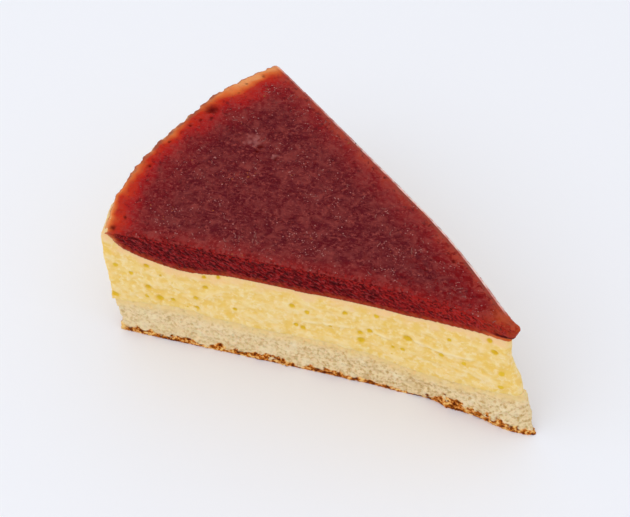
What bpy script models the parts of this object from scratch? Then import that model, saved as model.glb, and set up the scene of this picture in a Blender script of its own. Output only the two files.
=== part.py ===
"""A slice of vanilla cream cake: a thin sponge, a thick layer of set vanilla cream and a berry jelly.

The slice is cut from a round cake and lies on Z = 0, with its tip towards +X, the round outer wall
towards -X and its two straight cuts towards -Y and +Y. Sizes are in metres.

Each layer is the outside of a lattice of points. A point is named by its distance from the tip
along a cut, by its place across the slice (-1 on the -Y cut, +1 on the +Y cut) and by its share
of the layer's thickness.
"""

import math

import bmesh
import bpy
from mathutils import Matrix, Vector

# The slice seen from above.
CUT_LENGTH = 0.1212  # from the tip to the outer wall, along either cut
CUT_ANGLE = math.radians(40)  # between the two cuts
WALL_BULGE = 0.0090  # how far the outer wall stands past the line between its two corners
WALL_SWAY = 0.0004  # unevenness of the outer wall from floor to top
WALL_SWAY_HEIGHT = 0.0226  # height of one wave of it
WALL_SWAY_TURN = 5.0  # how the wave shifts across the slice, in radians
WALL_SWELLS = ((0.62, 0.0011, 0.38), (-0.72, 0.0012, 0.13))  # (place across, reach, half width)
TIP_WIDTH = 0.0024
TIP_START = 0.0007  # the blunt tip starts this far from the point where the cuts would meet
TIP_NOSE = 0.0013  # roundness of the blunt tip

# The tip leans to one side, and its foot is pushed forward.
LEAN_START = 0.046  # distance from the tip at which the slice starts to curve
LEAN_RATE = 3.1  # sideways offset per metre of distance squared
FOOT_FORWARD = 0.0060
FOOT_SIDEWAYS = 0.0040
FOOT_TOP = 0.034  # height below which the tip starts to spread
FOOT_BOTTOM = 0.018  # height at which it has spread fully
FOOT_REACH = 0.020  # length of the slice that is pulled forward
FOOT_TURN = 0.010  # length of the slice that is pushed sideways
TOE_FORWARD = 0.0023  # the crust under the tip reaches further still

# Layer heights.
TOP_HEIGHT = 0.0454
EDGE_DROP = 0.0003  # how far the jelly's top falls at the outer wall
EDGE_ROLL = 0.004  # width over which it falls
CORNER_DROP = 0.0010  # how far it falls at the corner of the wall and the -Y cut
CORNER_ROLL = 0.012
JELLY_THICKNESS = 0.0098
JELLY_RIM_THICKNESS = 0.0006
DISH_WIDTH = 0.0030  # how fast the jelly thickens inwards from the outer wall
DISH_WIDENING = 0.0018  # extra width of the dish at the two cuts
SPONGE_HEIGHT = 0.0141
GAP = 0.0003  # between two layers

# Swells in a layer boundary: (distance from the tip, place across, height, radius).
JELLY_FLOOR_SWELLS = (
    (0.098, -1.0, -0.0022, 0.008),
    (0.000, 0.0, 0.0042, 0.020),
    (0.070, 0.5, 0.0008, 0.020),
)
SPONGE_TOP_SWELLS = (
    (0.099, -1.0, 0.0022, 0.014),
    (0.062, -1.0, 0.0011, 0.013),
    (0.026, -1.0, -0.0021, 0.012),
    (0.001, 0.0, 0.0032, 0.009),
    (0.085, 0.7, -0.0012, 0.020),
)
RIPPLE_HEIGHT = 0.0003
RIPPLE_LENGTH = 0.018  # along the slice
RIPPLE_BREADTH = 0.021  # across it

# How the layers end.
CREAM_LIP_WIDTH = 0.0006  # cream that shows outside the jelly
CORNER_LIP = 0.0012  # what the lip gains at the corner of the wall and the -Y cut
CORNER_LIP_SPAN = 0.35  # how far across the slice it gains
CORNER_LIP_BLEND = 0.010  # how far inwards the jelly is pulled back with it
CREAM_LIP_DROP = 0.0002  # how far the lip lies below the jelly's top
CREAM_LIP_ROUND = 0.0008  # what it loses more towards its outer edge
CREAM_TIP_SETBACK = 0.0026  # the jelly overhangs the cream at the tip
JELLY_UNDERCUT = 0.0021  # and its own floor is set back as far
UNDERCUT_REACH = 0.006
SPONGE_TIP_LEAN = 0.0016  # how far the top of the sponge's tip lies behind its foot
SPONGE_WALL_SETBACK = 0.0019  # the cream overhangs the sponge at the outer wall
SPONGE_SHOULDER = 0.0013  # but the sponge's top stands out again to meet it
CRUST_LIP = 0.0005  # the browned foot of the sponge stands out again
CRUST_HEIGHT = 0.004

# Where the foot of the -Y cut is torn: (distance from the tip, reach outwards, half length).
TORN_FOOT = ((0.025, -0.00125, 0.004), (0.018, 0.0007, 0.0025), (0.0115, -0.00125, 0.005))

# Lattice counts.
STATION_STEP = 0.0044
TIP_STATIONS = (0.0015, 0.0030, 0.0050)
COLUMNS = 17
JELLY_LEVELS = 4
CREAM_LEVELS = 7
SPONGE_LEVELS = 6
SHARP_ANGLE = math.radians(40)

HALF_ANGLE = CUT_ANGLE / 2
JELLY_LENGTH = CUT_LENGTH - CREAM_LIP_WIDTH - GAP
SPONGE_LENGTH = CUT_LENGTH - SPONGE_WALL_SETBACK


def smooth_step(value):
    share = min(max(value, 0.0), 1.0)
    return share * share * (3 - 2 * share)


def straight_place(distance, across):
    """The place on the slice seen from above, before the tip leans."""
    bulge = WALL_BULGE * (distance / CUT_LENGTH) ** 2 * (1 - across**2)
    x = -distance * math.cos(HALF_ANGLE) - bulge
    return x, across * distance * math.sin(HALF_ANGLE)


def place(distance, across, height):
    """The point of the slice at a distance from the tip, a place across and a height."""
    x, y = straight_place(distance, across)
    side = distance * math.sin(HALF_ANGLE)
    y += (across + 1) * (math.hypot(side, TIP_WIDTH / 2) - side)
    y -= LEAN_RATE * max(x + LEAN_START, 0) ** 2
    foot = smooth_step((FOOT_TOP - height) / (FOOT_TOP - FOOT_BOTTOM))
    near_tip = max(1 - distance / FOOT_REACH, 0)
    x += FOOT_FORWARD * foot * near_tip**2 + TIP_NOSE * (1 - across**2) * near_tip**6
    y += FOOT_SIDEWAYS * foot * max(1 - distance / FOOT_TURN, 0) ** 3
    near_wall = (distance / CUT_LENGTH) ** 12
    wave = math.tau * height / WALL_SWAY_HEIGHT + WALL_SWAY_TURN * across
    x += WALL_SWAY * near_wall * math.sin(wave)
    for swell_across, reach, half_width in WALL_SWELLS:
        x -= reach * near_wall * math.exp(-(((across - swell_across) / half_width) ** 2))
    return Vector((x, y, height))


def swell(distance, across, swells):
    """Height that the listed swells add to a layer boundary, with a small ripple over all of it."""
    x, y = straight_place(distance, across)
    along, sideways = math.tau * x / RIPPLE_LENGTH, math.tau * y / RIPPLE_BREADTH
    total = RIPPLE_HEIGHT * math.sin(along) * math.cos(sideways)
    for swell_distance, swell_across, height, radius in swells:
        swell_x, swell_y = straight_place(swell_distance, swell_across)
        total += height * math.exp(-((x - swell_x) ** 2 + (y - swell_y) ** 2) / radius**2)
    return total


def jelly_top(distance, across):
    edge = EDGE_DROP * math.exp(-(CUT_LENGTH - distance) / EDGE_ROLL)
    x, y = straight_place(distance, across)
    corner_x, corner_y = straight_place(CUT_LENGTH, -1.0)
    from_corner = math.hypot(x - corner_x, y - corner_y)
    return TOP_HEIGHT - edge - CORNER_DROP * math.exp(-((from_corner / CORNER_ROLL) ** 2))


def jelly_floor(distance, across):
    """The jelly lies in a dish of cream, so its floor rises to meet its top at the outer wall."""
    inwards = JELLY_LENGTH - distance
    width = DISH_WIDTH + DISH_WIDENING * across**2
    dish = 1 - math.exp(-max(inwards, 0) / width)
    thickness = JELLY_RIM_THICKNESS + (JELLY_THICKNESS - JELLY_RIM_THICKNESS) * dish
    return jelly_top(distance, across) - thickness + dish * swell(distance, across, JELLY_FLOOR_SWELLS)


def cream_top(distance, across):
    """Under the jelly, and outside it a thin rounded lip."""
    outwards = distance - (CUT_LENGTH - CREAM_LIP_WIDTH)
    if outwards < -GAP / 2:
        return jelly_floor(distance, across) - GAP
    rolled = max(outwards / CREAM_LIP_WIDTH, 0)
    return jelly_top(distance, across) - CREAM_LIP_DROP - CREAM_LIP_ROUND * rolled**3


def sponge_top(distance, across):
    return SPONGE_HEIGHT + swell(distance, across, SPONGE_TOP_SWELLS)


def cream_floor(distance, across):
    return sponge_top(distance, across) + GAP


def pulled_back(distance, across):
    """Near the -Y corner the jelly stops short of the wall, and more of the cream lip shows."""
    inwards = CUT_LENGTH - CREAM_LIP_WIDTH - distance
    blend = smooth_step(1 - inwards / CORNER_LIP_BLEND) * min(1 + inwards / CREAM_LIP_WIDTH, 1)
    return distance - CORNER_LIP * blend * math.exp(-(((across + 1) / CORNER_LIP_SPAN) ** 2))


def layer_point(distance, across, share, floor, top):
    low, high = floor(distance, across), top(distance, across)
    height = low + share * (high - low)
    blend = smooth_step((height - SPONGE_HEIGHT) / (TOP_HEIGHT - JELLY_THICKNESS - SPONGE_HEIGHT))
    drawn = distance + blend * (pulled_back(distance, across) - distance)
    return place(drawn, across, height)


def jelly_point(distance, across, share):
    point = layer_point(distance, across, share, jelly_floor, jelly_top)
    point.x -= JELLY_UNDERCUT * (1 - share) * max(1 - distance / UNDERCUT_REACH, 0) ** 2
    return point


def cream_point(distance, across, share):
    return layer_point(distance, across, share, cream_floor, cream_top)


def sponge_point(distance, across, share):
    """The sponge leans back at the tip, and spreads a little at its browned, torn foot."""
    leaned = distance + SPONGE_TIP_LEAN * share**2.5 * max(1 - distance / FOOT_TURN, 0) ** 2
    point = layer_point(leaned, across, share, lambda *_: 0.0, sponge_top)
    foot = max(1 - point.z / CRUST_HEIGHT, 0)
    at_wall = (distance / SPONGE_LENGTH) ** 30
    point.x -= at_wall * (CRUST_LIP * foot + SPONGE_SHOULDER * share**6)
    point.x += TOE_FORWARD * foot**2 * max(1 - distance / FOOT_TURN, 0) ** 3
    for torn_place, reach, half_length in TORN_FOOT:
        tear = math.exp(-(((distance - torn_place) / half_length) ** 2))
        point.y -= reach * tear * foot * max(-across, 0) ** 6
    return point


def stations(start, end, extra=()):
    """Distances from the tip: close together at the tip, evenly spaced along the slice."""
    first = [distance for distance in TIP_STATIONS if distance > start]
    count = round((end - first[-1]) / STATION_STEP)
    step = (end - first[-1]) / count
    evenly = [first[-1] + step * number for number in range(1, count + 1)]
    return [start, *first, *evenly, *extra]


def evenly_spaced(low, high, count):
    return [low + (high - low) * number / (count - 1) for number in range(count)]


def lattice_skin(steps, point_at):
    """A closed mesh over the outside of the lattice of points point_at(*values)."""
    mesh = bmesh.new()
    corners = {}

    def corner(index):
        if index not in corners:
            values = [steps[axis][index[axis]] for axis in range(3)]
            corners[index] = mesh.verts.new(point_at(*values))
        return corners[index]

    for axis in range(3):
        first, second = (axis + 1) % 3, (axis + 2) % 3
        for side in (0, len(steps[axis]) - 1):
            for row in range(len(steps[first]) - 1):
                for column in range(len(steps[second]) - 1):
                    ring = []
                    for right, up in ((0, 0), (1, 0), (1, 1), (0, 1)):
                        index = [0, 0, 0]
                        index[axis] = side
                        index[first] = row + right
                        index[second] = column + up
                        ring.append(corner(tuple(index)))
                    mesh.faces.new(ring)
    bmesh.ops.recalc_face_normals(mesh, faces=mesh.faces[:])
    return mesh


def add_layer(name, distances, levels, point_at, materials):
    columns = evenly_spaced(-1.0, 1.0, COLUMNS)
    skin = lattice_skin((distances, columns, evenly_spaced(0.0, 1.0, levels)), point_at)
    data = bpy.data.meshes.new(name)
    skin.to_mesh(data)
    skin.free()
    for material in materials:
        data.materials.append(material)
    data.shade_smooth()
    data.set_sharp_from_angle(angle=SHARP_ANGLE)
    layer = bpy.data.objects.new(name, data)
    bpy.context.scene.collection.objects.link(layer)
    return layer


def new_material(name, colour, roughness, subsurface=0.0, coat=0.0):
    material = bpy.data.materials.new(name)
    material.use_nodes = True
    shader = material.node_tree.nodes["Principled BSDF"]
    shader.inputs["Base Color"].default_value = (*colour, 1.0)
    shader.inputs["Roughness"].default_value = roughness
    shader.inputs["Metallic"].default_value = 0.0
    shader.inputs["Subsurface Weight"].default_value = subsurface
    shader.inputs["Subsurface Scale"].default_value = 0.004
    shader.inputs["Coat Weight"].default_value = coat
    return material


def add_sponge():
    crumb = new_material("sponge crumb", (0.74, 0.66, 0.43), 0.9)
    crust = new_material("browned crust", (0.36, 0.15, 0.04), 0.85)
    distances = stations(TIP_START, SPONGE_LENGTH)
    sponge = add_layer("sponge_base", distances, SPONGE_LEVELS, sponge_point, (crumb, crust))
    for face in sponge.data.polygons:
        if face.normal.z < -0.99:
            face.material_index = 1
    return sponge


def add_cream():
    cream = new_material("vanilla cream", (0.86, 0.66, 0.27), 0.45, subsurface=0.4)
    lip_start = CUT_LENGTH - CREAM_LIP_WIDTH
    lip = [lip_start + CREAM_LIP_WIDTH * share for share in (0.0, 0.5, 1.0)]
    distances = stations(CREAM_TIP_SETBACK, JELLY_LENGTH, extra=lip)
    return add_layer("vanilla_cream", distances, CREAM_LEVELS, cream_point, (cream,))


def add_jelly():
    jelly = new_material("berry jelly", (0.20, 0.015, 0.020), 0.25, subsurface=0.3, coat=0.4)
    distances = stations(TIP_START, JELLY_LENGTH)
    return add_layer("berry_jelly", distances, JELLY_LEVELS, jelly_point, (jelly,))


def centre_over_origin(layers):
    """Moves the meshes so that the middle of the slice's box is over the origin."""
    points = [vertex.co for layer in layers for vertex in layer.data.vertices]
    middle = [(min(p[axis] for p in points) + max(p[axis] for p in points)) / 2 for axis in (0, 1)]
    shift = Matrix.Translation((-middle[0], -middle[1], 0.0))
    for layer in layers:
        layer.data.transform(shift)


def main():
    for thing in list(bpy.data.objects):
        bpy.data.objects.remove(thing)
    layers = [add_sponge(), add_cream(), add_jelly()]
    centre_over_origin(layers)


main()
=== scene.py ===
"""Looks of a slice of vanilla cream cake: sponge, set vanilla cream with air holes, and a berry jelly.

Each layer is a fine skin grown from its solid. The skin gets its relief and holes, and carries
attributes that say how far each point is from a cut, from the outer wall or from the next layer,
which the materials read. Sizes are in metres, and the slice's tip points to +X.
"""

import math

import bmesh
import bpy
import numpy as np
from bpy.props import FloatProperty, FloatVectorProperty, PointerProperty
from mathutils import Matrix, Vector, noise
from mathutils.bvhtree import BVHTree


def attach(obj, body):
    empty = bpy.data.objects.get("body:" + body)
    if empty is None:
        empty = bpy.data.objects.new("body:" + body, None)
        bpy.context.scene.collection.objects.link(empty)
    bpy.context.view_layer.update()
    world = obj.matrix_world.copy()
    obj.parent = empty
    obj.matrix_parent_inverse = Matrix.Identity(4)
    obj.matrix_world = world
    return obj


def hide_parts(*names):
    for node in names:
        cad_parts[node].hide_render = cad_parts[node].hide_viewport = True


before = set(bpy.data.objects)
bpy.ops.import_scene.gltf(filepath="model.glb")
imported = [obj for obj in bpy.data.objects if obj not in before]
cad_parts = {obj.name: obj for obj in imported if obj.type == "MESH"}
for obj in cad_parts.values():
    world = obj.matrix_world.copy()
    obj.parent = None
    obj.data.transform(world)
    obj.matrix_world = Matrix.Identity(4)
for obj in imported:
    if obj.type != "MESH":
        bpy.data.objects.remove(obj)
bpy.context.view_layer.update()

bl_info = {
    "name": "Vanilla Cream Cake Slice",
    "version": (1, 0, 0),
    "blender": (4, 5, 0),
    "location": "3D View > Sidebar > Cake",
    "description": "Builds the looks of a slice of vanilla cream cake with a berry jelly",
    "category": "Add Mesh",
}

BODY = "root"

# Ways that the sides of the slice face.
HALF_ANGLE = math.radians(20)
NEAR_CUT = Vector((math.sin(HALF_ANGLE), -math.cos(HALF_ANGLE), 0.0))
FAR_CUT = Vector((math.sin(HALF_ANGLE), math.cos(HALF_ANGLE), 0.0))
WALL = Vector((-1.0, 0.0, 0.0))
UP = Vector((0.0, 0.0, 1.0))
SAME_WAY = 0.72  # cosine of the widest angle at which a face still counts as facing one way
SIDE_SHARPNESS = 1.4  # how fast a face that leans stops counting as a side

MERGE_DISTANCE = 1e-6
CREASE_ANGLE = math.radians(35)
HIDDEN_MARGIN = 0.0015  # how far behind a side the skin may be coarse
THINNED_SHARE = 0.97  # share of its hidden faces that a skin loses

TIP_X = 0.0578  # where the lines of the two cuts meet
FAN_X = 0.0750  # the middle of the circles that the patterns follow
RIM_WIDTH = 0.016  # distance from the wall over which the jelly darkens
RIM_STRETCH = 0.003  # width of the band that is drawn out with it
RAGGED_REACH = 0.0026  # width of the ragged band at the top of the outer wall
LAYER_GAP = 0.0003  # between two solids
BRIDGE = 0.00045  # how far each layer reaches over the gap to the next
JELLY_BRIDGE = 0.00034  # the jelly's edge hides the cream that reaches up to it
BRIDGE_REACH = 0.0012
RIM_SINK = 0.0010  # how far the cream lies lower under the rim that runs out over it
TUCK = 0.00024  # how far a layer's edge lies behind the edge of the layer on it
FIBRE_TILT = math.radians(28)  # the jelly's fibres climb away from the tip
SMEAR_FADE = 0.003
SMEAR_RIDGE = 0.0008
PIT_WOBBLE_GRAIN = 0.0009
CRUST_GRAIN = 0.0016

# How far the relief stands out or sinks in: first the jelly's, then the cream's and the sponge's.
EDGE_ROLL = 0.00028  # the edges of the top are rolled down
EDGE_CRUMBLE = 0.00045  # and the near one has crumbled
CUT_RELIEF = 0.00022
TOP_RELIEF = 0.00010
HEM_RELIEF = 0.0006
WAVE_RELIEF = 0.00034
TEAR_RELIEF = 0.00016
RIDGE_RELIEF = 0.00028
GROOVE_RELIEF = 0.00026
COARSE_CRUMB = 0.00050
FINE_CRUMB = 0.00016

# Strands of pulp, in radii of a speck: half length, half width and curve.
STRAND_LENGTH = 2.6
STRAND_WIDTH = 0.42
STRAND_CURVE = 0.22

# The stage.
SKY_COLOUR = (0.93, 0.965, 1.0)
SKY_STRENGTH = 0.93
KEY_PLACE = Vector((-0.4, -1.2, 1.9))
KEY_SIZE = 2.6
KEY_POWER = 11.0
LOOKED_AT = Vector((-0.02400, 0.01531, 0.0))


def tone(label, description, *shown):
    """A setting for a colour, given by the 0 to 255 values that a screen shows."""
    shares = (value / 255 for value in shown)
    linear = tuple(v / 12.92 if v <= 0.04045 else ((v + 0.055) / 1.055) ** 2.4 for v in shares)
    return FloatVectorProperty(
        name=label, description=description, default=linear, subtype="COLOR", min=0.0, max=1.0
    )


def length(label, description, default):
    """A setting for a length in metres."""
    return FloatProperty(
        name=label, description=description, default=default, unit="LENGTH", precision=5, min=0.0
    )


def angle(label, description, degrees):
    """A setting for an angle."""
    return FloatProperty(
        name=label, description=description, default=math.radians(degrees), subtype="ANGLE"
    )


class CakeJellySettings(bpy.types.PropertyGroup):
    skin: length("Skin", "Size of the skin's faces", 0.00032)
    deep: tone("Deep", "The top far from every edge", 94, 20, 28)
    middle: tone("Middle", "A centimetre from the outer wall", 117, 19, 26)
    shallow: tone("Shallow", "Six millimetres from the wall", 167, 24, 24)
    red: tone("Red", "Four millimetres from the wall", 192, 46, 22)
    orange: tone("Orange", "Two millimetres from the wall", 218, 108, 50)
    thin: tone("Thin", "Jelly that runs out over the cream", 232, 152, 94)
    # Outline: painted shade along the rim's edge, where the jelly's lower side towards the wall lies in
    # shadow.
    outline: tone("Outline", "The dried edge of the rim", 140, 70, 58)
    pulp: tone("Pulp", "Lighter fruit pulp", 157, 70, 63)
    shadow: tone("Shadow", "Darker clots of fruit", 80, 14, 22)
    lit_edge: tone("Lit edge", "Along the far cut, where light comes through", 174, 66, 46)
    near_edge: tone("Near edge", "The top next to the near cut", 144, 34, 32)
    edge_line: tone("Edge line", "The shine on the far edge", 232, 198, 188)
    cut_dark: tone("Dark fibre", "The hollows of the cut face", 66, 0, 3)
    cut_body: tone("Fibre", "The body of the cut face", 118, 6, 12)
    # Bright fibre: also the painted glints on the grains near the top edge.
    cut_bright: tone("Bright fibre", "The brightest fibres of the cut face", 172, 30, 22)
    cut_vein: tone("Vein", "Duller, purplish fibres", 150, 46, 48)
    cut_border: tone("Border", "The cut face next to the cream", 166, 58, 26)
    # Speck: the bubbles' pale colour is partly a painted glint on them; on the lumps it is a painted
    # highlight.
    speck: tone("Speck", "Tiny bubbles and lumps in the top", 184, 112, 106)
    strand: tone("Strand", "Curled strands of pulp", 160, 88, 82)
    seed: tone("Seed", "Bits of orange pulp", 168, 78, 48)
    bruise: tone("Bruise", "Dark bits in the top", 92, 8, 6)


class CakeCreamSettings(bpy.types.PropertyGroup):
    skin: length("Skin", "Size of the skin's faces", 0.00035)
    body: tone("Body", "The cream", 246, 211, 133)
    # Yellower cream in patches, and painted shade in the hollows of the relief.
    rich_and_shade: tone("Rich", "Yellower cream, in the hollows", 241, 198, 90)
    # Pale: whiter cream in patches, and a painted highlight on the ridges of the relief.
    pale: tone("Pale", "Whipped, whiter cream", 252, 227, 176)
    under_jelly: tone("Under jelly", "Cream tinted by the jelly", 246, 202, 144)
    hole: tone("Hole", "The inside of an air hole", 230, 186, 14)
    lip: tone("Lip", "The stained top of the cream at the wall", 178, 92, 62)
    hole_density: FloatProperty(name="Holes", description="Per square metre", default=30000.0)
    smallest_hole: length("Smallest hole", "Radius", 0.00032)
    largest_hole: length("Largest hole", "Radius", 0.00095)


class CakeSpongeSettings(bpy.types.PropertyGroup):
    skin: length("Skin", "Size of the skin's faces", 0.000285)
    crumb: tone("Crumb", "The pale crumb", 240, 215, 169)
    shade: tone("Shade", "The hollows of the crumb", 198, 160, 100)
    light: tone("Light", "The lightest crumb", 248, 232, 196)
    soaked: tone("Soaked", "Crumb next to the cream", 240, 206, 140)
    crust: tone("Crust", "The browned underside", 206, 112, 16)
    dark_crust: tone("Dark crust", "Its darkest flecks", 104, 40, 2)
    pale_crust: tone("Pale crust", "Its palest flecks", 250, 206, 126)
    pore_density: FloatProperty(name="Pores", description="Per square metre", default=420000.0)
    smallest_pore: length("Smallest pore", "Radius", 0.00030)
    largest_pore: length("Largest pore", "Radius", 0.00085)


class CakeStageSettings(bpy.types.PropertyGroup):
    floor: tone("Floor", "The plain floor", 243, 242, 246)
    azimuth: angle("Azimuth", "Of the camera, from the front towards the tip", 36.987)
    elevation: angle("Elevation", "Of the camera, above the floor", 48.896)
    roll: angle("Roll", "Of the camera, round its line of sight", -1.403)
    distance: length("Distance", "From the camera to its target", 0.46819)
    lens: FloatProperty(name="Lens", description="Focal length", default=85.714, unit="CAMERA")


class CakeSettings(bpy.types.PropertyGroup):
    jelly: PointerProperty(name="Jelly", description="Looks of the jelly", type=CakeJellySettings)
    cream: PointerProperty(name="Cream", description="Looks of the cream", type=CakeCreamSettings)
    sponge: PointerProperty(name="Sponge", description="Looks of the sponge", type=CakeSpongeSettings)
    stage: PointerProperty(name="Stage", description="Floor and camera", type=CakeStageSettings)


# Air holes that show on the near cut: (x, height, radius, depth).
NEAR_HOLES = (
    (-0.0534, 0.0301, 0.0012, 0.0003),
    (-0.0491, 0.0280, 0.0011, 0.0003),
    (-0.0443, 0.0326, 0.0012, 0.0008),
    (-0.0447, 0.0232, 0.0013, 0.0009),
    (-0.0416, 0.0193, 0.0017, 0.0008),
    (-0.0379, 0.0197, 0.0011, 0.0006),
    (-0.0454, 0.0189, 0.0010, 0.0003),
    (-0.0550, 0.0166, 0.0018, 0.0005),
    (-0.0281, 0.0327, 0.0011, 0.0008),
    (-0.0241, 0.0340, 0.0011, 0.0007),
    (-0.0281, 0.0283, 0.0012, 0.0006),
    (-0.0310, 0.0229, 0.0013, 0.0008),
    (-0.0311, 0.0183, 0.0011, 0.0007),
    (-0.0201, 0.0216, 0.0011, 0.0007),
    (-0.0040, 0.0285, 0.0012, 0.0006),
    (0.0001, 0.0272, 0.0011, 0.0003),
    (-0.0031, 0.0203, 0.0011, 0.0006),
    (-0.0012, 0.0196, 0.0012, 0.0006),
    (0.0104, 0.0303, 0.0012, 0.0006),
    (0.0190, 0.0320, 0.0012, 0.0004),
    (0.0148, 0.0198, 0.0018, 0.0008),
    (0.0172, 0.0247, 0.0013, 0.0005),
    (0.0145, 0.0229, 0.0012, 0.0004),
    (0.0277, 0.0256, 0.0020, 0.0008),
    (0.0393, 0.0311, 0.0010, 0.0005),
    (0.0504, 0.0370, 0.0013, 0.0006),
    (0.0522, 0.0330, 0.0016, 0.0007),
    (0.0264, 0.0203, 0.0011, 0.0004),
    (0.0236, 0.0200, 0.0008, 0.0004),
    (0.0374, 0.0232, 0.0012, 0.0005),
    (0.0550, 0.0250, 0.0013, 0.0002),
    (0.0552, 0.0189, 0.0012, 0.0002),
    (0.0440, 0.0229, 0.0010, 0.0002),
)

# How far the end of the jelly at the tip steps back, at these heights above the cream.
NOSE_HEIGHTS = (0.0004, 0.0013, 0.0018)
NOSE_RECESSES = (0.0, 0.0009, 0.0)

# Smears left by the knife on the near cut: points (x, height) from left to right.
NEAR_SMEARS = (
    ((-0.0028, 0.0222), (0.0118, 0.0237), (0.0194, 0.0242), (0.0241, 0.0229)),
    ((0.0276, 0.0263), (0.0325, 0.0245), (0.0371, 0.0241), (0.0414, 0.0242), (0.0483, 0.0265)),
)

# Dark bits on the top of the jelly: (x, y, radius, depth).
TOP_BRUISES = (
    (-0.0599, 0.0138, 0.0034, 0.0003),
    (-0.0580, 0.0108, 0.0010, 0.0002),
    (-0.0600, 0.0085, 0.0008, 0.0003),
    (-0.0610, 0.0050, 0.0010, 0.0003),
    (-0.0618, -0.0040, 0.0008, 0.0003),
    (-0.0602, -0.0148, 0.0010, 0.0003),
    (-0.0535, -0.0388, 0.0016, 0.0003),
    (-0.0530, -0.0340, 0.0007, 0.0002),
    (-0.0562, 0.0345, 0.0009, 0.0002),
    (-0.0585, 0.0288, 0.0008, 0.0002),
    (-0.0578, 0.0240, 0.0006, 0.0002),
    (-0.0385, 0.0098, 0.0018, 0.0005),
    (-0.0383, 0.0075, 0.0013, 0.0004),
    (-0.0320, 0.0080, 0.0011, 0.0004),
    (0.0034, -0.0087, 0.0006, 0.0002),
    (0.0150, -0.0099, 0.0008, 0.0003),
    (0.0191, 0.0052, 0.0005, 0.0002),
    (0.0266, -0.0025, 0.0008, 0.0003),
    (0.0312, 0.0045, 0.0009, 0.0003),
)

# Along the outer wall, at these places in y: how far the jelly's rim runs out over the cream, how
# wide its dark outline of painted shade is, and how much narrower its pale band is.
RIM_PLACES = (-0.042, -0.036, -0.028, -0.008, 0.008, 0.015, 0.022, 0.028, 0.040)
RIM_REACHES = (0.0011, 0.0012, 0.0009, 0.0003, 0.0004, 0.0009, 0.0008, 0.0005, 0.0005)
RIM_OUTLINES = (0.0001, 0.0001, 0.0005, 0.0014, 0.0013, 0.0011, 0.0007, 0.0006, 0.0006)
RIM_NARROWED = (0.0019, 0.0021, 0.0027, 0.0020, 0.0016, 0.0009, 0.0001, -0.0008, -0.0006)

# Painted highlights, where light catches lumps in the top: (x, y, radius).
LUMP_HIGHLIGHTS = ((-0.0415, 0.0103, 0.0030), (-0.0325, 0.0088, 0.0012), (0.0131, -0.0170, 0.0010))

# Pits: seed and least spacing of the random ones, depth in radii, steepness and raggedness.
PIT_INPUTS = ("Seed", "Spacing", "Depth", "Steepness", "Raggedness")
TOP_PITS = (0, 0.01, 1.0, 1.0, 0.0012)
AIR_HOLES = (4, 0.0022, 0.6, 1.0, 0.0006)
PORES = (9, 0.0009, 0.6, 0.8, 0.0004)

# Scattered bits: their seed, number per square metre, smallest and largest radius, flatness and tumble.
BIT_INPUTS = ("Seed", "Density", "Smallest", "Largest", "Flatness", "Tumble")
BUBBLES = (11, 640000.0, 0.00010, 0.00029, 0.6, 0.0)
PULP_BITS = (23, 26000.0, 0.00020, 0.00048, 0.6, 0.0)
PULP_STRANDS = (37, 60000.0, 0.00020, 0.00050, 0.6, 0.0)
CRUMBS = (31, 1500000.0, 0.00016, 0.00048, 0.8, 1.0)

CORNER_BULGE = 0.0008  # how far the lump at the foot of the near corner stands out
CRUST_THICKNESS = 0.0016

# Where the browned crust is thicker or thinner: (distance from the tip, extra thickness, half length).
CRUST_SWELLS = (
    (0.012, 0.0022, 0.011),
    (0.031, -0.0012, 0.005),
    (0.060, 0.0004, 0.015),
    (0.1132, 0.0022, 0.0012),
)


# Wiring nodes.


def find_socket(sockets, name):
    """The socket of that name, or of that number, that the node's present options use."""
    if isinstance(name, int):
        return sockets[name]
    return next(socket for socket in sockets if socket.name == name and socket.enabled)


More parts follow.
